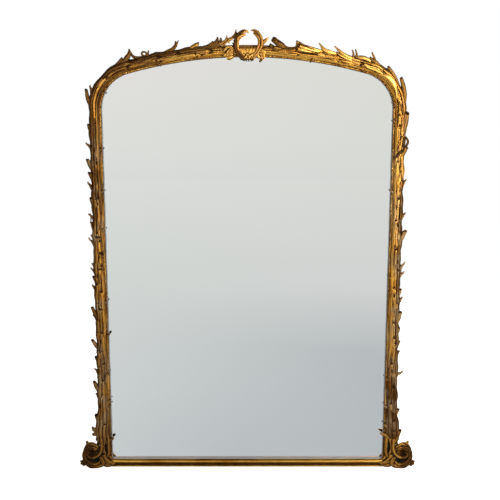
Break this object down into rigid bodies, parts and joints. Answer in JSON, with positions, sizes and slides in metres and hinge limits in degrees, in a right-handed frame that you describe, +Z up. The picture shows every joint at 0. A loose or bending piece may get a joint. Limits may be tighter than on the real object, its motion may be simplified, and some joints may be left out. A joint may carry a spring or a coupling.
{
  "type": "overmantel mirror",
  "caption": "Tall arched looking glass in a carved and gilded rustic branch frame with scroll feet, a moulded bottom rail and an open ring crest, to stand on a mantel shelf.",
  "frame": {"origin": "middle of the underside of the bottom rail, half way through the carcass's depth", "axes": "+X to the right as seen from the front, +Y to the wall behind, +Z up"},
  "size_m": [1.381, 0.0753, 1.7473],
  "materials": {
    "gilding": "water gilding over red bole, burnished on the high parts, dulled and dark in the hollows",
    "mirror": "old silvered plate glass",
    "pine": "bare old pine",
    "backboards": "bare old pine boards, sawn and planed",
    "steel": "dull old steel",
    "brass": "tarnished brass"
  },
  "bodies": {
    "frame": {"bottom_rail": "pine", "left_stile": "pine", "right_stile": "pine", "left_haunch": "pine", "right_haunch": "pine", "crown_rail": "pine", "lap_dowels": "pine", "glazing_blocks": "pine", "left_foot_block": "pine", "right_foot_block": "pine", "mirror_plate": "mirror", "backboard_1": "backboards", "backboard_2": "backboards", "backboard_3": "backboards", "backboard_4": "backboards", "backboard_5": "backboards", "backboard_6": "backboards", "backboard_7": "backboards", "backboard_8": "backboards", "bottom_moulding": "gilding", "left_bead": "gilding", "right_bead": "gilding", "left_shoulder_bead": "gilding", "right_shoulder_bead": "gilding", "crown_bead": "gilding", "left_trunk": "gilding", "right_trunk": "gilding", "left_bough": "gilding", "right_bough": "gilding", "left_foot": "gilding", "right_foot": "gilding", "crest_left_branch": "gilding", "crest_right_branch": "gilding", "crest_blossoms": "gilding", "crest_left_leaf": "gilding", "crest_right_leaf": "gilding", "backboard_brads": "steel", "left_hanger_strap": "steel", "right_hanger_strap": "steel", "hanger_screws": "steel"},
    "left_ring": {"left_hanger_ring": "brass"},
    "right_ring": {"right_hanger_ring": "brass"}
  },
  "joints": [
    {"name": "left_ring_hinge", "type": "hinge", "parent": "frame", "child": "left_ring", "pos_m": [-0.5905, 0.01978, 1.25], "axis": [1, 0, 0], "range_deg": [0, 180]},
    {"name": "right_ring_hinge", "type": "hinge", "parent": "frame", "child": "right_ring", "pos_m": [0.5905, 0.01978, 1.25], "axis": [1, 0, 0], "range_deg": [0, 180]}
  ]
}
